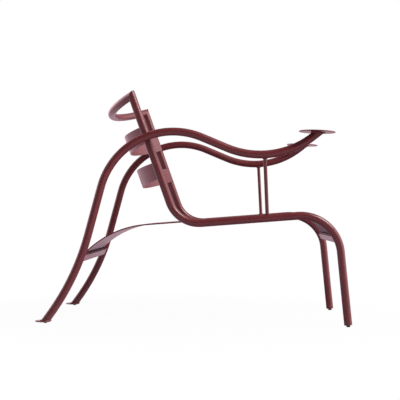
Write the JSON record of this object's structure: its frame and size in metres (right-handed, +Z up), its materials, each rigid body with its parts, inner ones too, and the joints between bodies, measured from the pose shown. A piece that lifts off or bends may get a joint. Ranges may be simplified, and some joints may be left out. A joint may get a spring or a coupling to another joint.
{
  "type": "metal lounge chair",
  "caption": "Low outdoor lounge chair of bent steel tube with a strap seat, curved back bands, a headrest bow and round plates on the ends of its arms.",
  "frame": {"origin": "on the floor, under the middle of the chair's depth and width", "axes": "+X towards the chair's front, +Y towards its left side, +Z up"},
  "size_m": [0.945, 0.634, 0.6999],
  "materials": {
    "tube_paint": "semi-gloss oxblood powder coat on bent steel tube",
    "flat_paint": "semi-gloss oxblood powder coat on rolled flat steel",
    "strap_paint": "semi-gloss oxblood powder coat on bent flat steel",
    "plate_paint": "semi-gloss oxblood powder coat on cut sheet steel",
    "weld_paint": "oxblood powder coat over rippled weld beads",
    "glide_plastic": "moulded black plastic"
  },
  "bodies": {
    "root": {"arm_crossing_welds": "weld_paint", "arm_disc_welds": "weld_paint", "arm_strut_welds": "weld_paint", "back_band_welds": "weld_paint", "cross_bar_welds": "weld_paint", "front_cross_bar": "flat_paint", "headrest_bow": "tube_paint", "heel_plate_welds": "weld_paint", "left_arm_disc": "plate_paint", "left_arm_rail": "tube_paint", "left_arm_strut": "tube_paint", "left_front_glide": "glide_plastic", "left_heel_plate": "plate_paint", "left_rear_glide": "glide_plastic", "left_seat_rail": "tube_paint", "lower_back_band": "flat_paint", "rear_cross_bar": "flat_paint", "right_arm_disc": "plate_paint", "right_arm_rail": "tube_paint", "right_arm_strut": "tube_paint", "right_front_glide": "glide_plastic", "right_heel_plate": "plate_paint", "right_rear_glide": "glide_plastic", "right_seat_rail": "tube_paint", "seat_strap_1": "strap_paint", "seat_strap_2": "strap_paint", "seat_strap_3": "strap_paint", "seat_strap_4": "strap_paint", "seat_strap_5": "strap_paint", "seat_strap_welds": "weld_paint", "upper_back_band": "flat_paint"}
  },
  "joints": []
}
